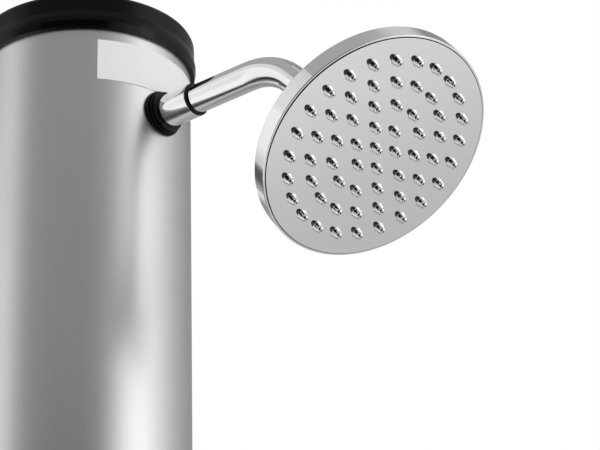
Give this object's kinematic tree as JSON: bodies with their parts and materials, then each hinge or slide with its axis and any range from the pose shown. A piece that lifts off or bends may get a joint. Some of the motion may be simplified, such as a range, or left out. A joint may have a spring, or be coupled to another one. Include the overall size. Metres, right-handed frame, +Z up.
{
  "type": "outdoor shower post",
  "caption": "Floor-standing solar shower: round water tube with black cap and foot, bent chrome arm with swivelling rain head, lever mixer, foot tap and hose inlet.",
  "frame": {"origin": "centre of the foot's underside, on the floor", "axes": "+Z up along the water tube, -Y along the shower arm and the taps, +X to the right of someone facing the arm"},
  "size_m": [0.23, 0.4351, 2.17],
  "materials": {
    "satin_aluminium": "satin, brushed round the tube",
    "polished_chrome": "mirror polished",
    "black_plastic": "satin black moulding",
    "black_rubber": "soft black rubber",
    "white_vinyl": "blank satin vinyl sticker",
    "brass": "machined",
    "white_pipe": "white polyethylene pipe",
    "grey_plastic": "grey moulding"
  },
  "bodies": {
    "post": {"base_foot": "black_plastic", "tank_bottom": "black_plastic", "tank_bottom_seal": "black_rubber", "lower_tube": "satin_aluminium", "upper_tube": "satin_aluminium", "tube_coupling": "black_plastic", "coupling_seals": "black_rubber", "top_cap": "black_plastic", "top_cap_seal": "black_rubber", "blank_label": "white_vinyl", "arm_grommet": "black_rubber", "arm_collar": "polished_chrome", "collar_o_ring": "black_rubber", "arm_lock_nut": "brass", "shower_arm": "polished_chrome", "swivel_ball": "polished_chrome", "union_washer": "black_rubber", "union_nut": "polished_chrome", "arm_elbow": "grey_plastic", "mixer_manifold": "grey_plastic", "foot_tap_tee": "grey_plastic", "inlet_tee": "grey_plastic", "inlet_pipe": "white_pipe", "cold_pipe_lower": "white_pipe", "cold_pipe_upper": "white_pipe", "riser_pipe": "white_pipe", "hot_pipe": "white_pipe", "pipe_clips": "grey_plastic", "wall_grommets": "black_rubber", "back_nuts": "brass", "mixer_grommet": "black_rubber", "mixer_back_nut": "brass", "mixer_body": "polished_chrome", "mixer_cartridge": "grey_plastic", "cartridge_nut": "brass", "mixer_dome": "polished_chrome", "foot_tap_body": "polished_chrome", "foot_tap_aerator": "polished_chrome", "foot_tap_bonnet": "polished_chrome", "inlet_connector": "brass", "inlet_washer": "black_rubber", "hose_adapter": "black_plastic", "drain_plug": "black_plastic"},
    "swivel_seat": {"ball_seat": "grey_plastic"},
    "swivel_socket": {"socket_ring": "polished_chrome"},
    "rain_head": {"head_shell": "polished_chrome", "head_gasket": "black_rubber", "face_plate": "polished_chrome"},
    "mixer_carrier": {"cartridge_carrier": "grey_plastic"},
    "mixer_handle": {"mixer_lever": "polished_chrome", "lever_stem": "brass"},
    "foot_handle": {"foot_tap_handle": "polished_chrome", "foot_tap_spindle": "brass"}
  },
  "joints": [
    {"name": "head_tilt", "type": "hinge", "parent": "post", "child": "swivel_seat", "pos_m": [0, -0.22682, 2.03175], "axis": [1, 0, 0], "range_deg": [-20.7, 9.3]},
    {"name": "head_swing", "type": "hinge", "parent": "swivel_seat", "child": "swivel_socket", "pos_m": [0, -0.22682, 2.03175], "axis": [0, -0.7848, 0.6198], "range_deg": [-12.2, 17.8]},
    {"name": "head_spin", "type": "hinge", "parent": "swivel_socket", "child": "rain_head", "pos_m": [0, -0.22682, 2.03175], "axis": [-0.0486, -0.619, -0.7838], "continuous": true},
    {"name": "mixer_turn", "type": "hinge", "parent": "post", "child": "mixer_carrier", "pos_m": [0, -0.112, 1.2], "axis": [0, -1, 0], "range_deg": [-45, 45]},
    {"name": "mixer_lift", "type": "hinge", "parent": "mixer_carrier", "child": "mixer_handle", "pos_m": [0, -0.112, 1.2], "axis": [-1, 0, 0], "range_deg": [0, 25]},
    {"name": "foot_tap_turn", "type": "hinge", "parent": "post", "child": "foot_handle", "pos_m": [0, -0.112, 0.34], "axis": [0, -1, 0], "range_deg": [0, 90]}
  ]
}
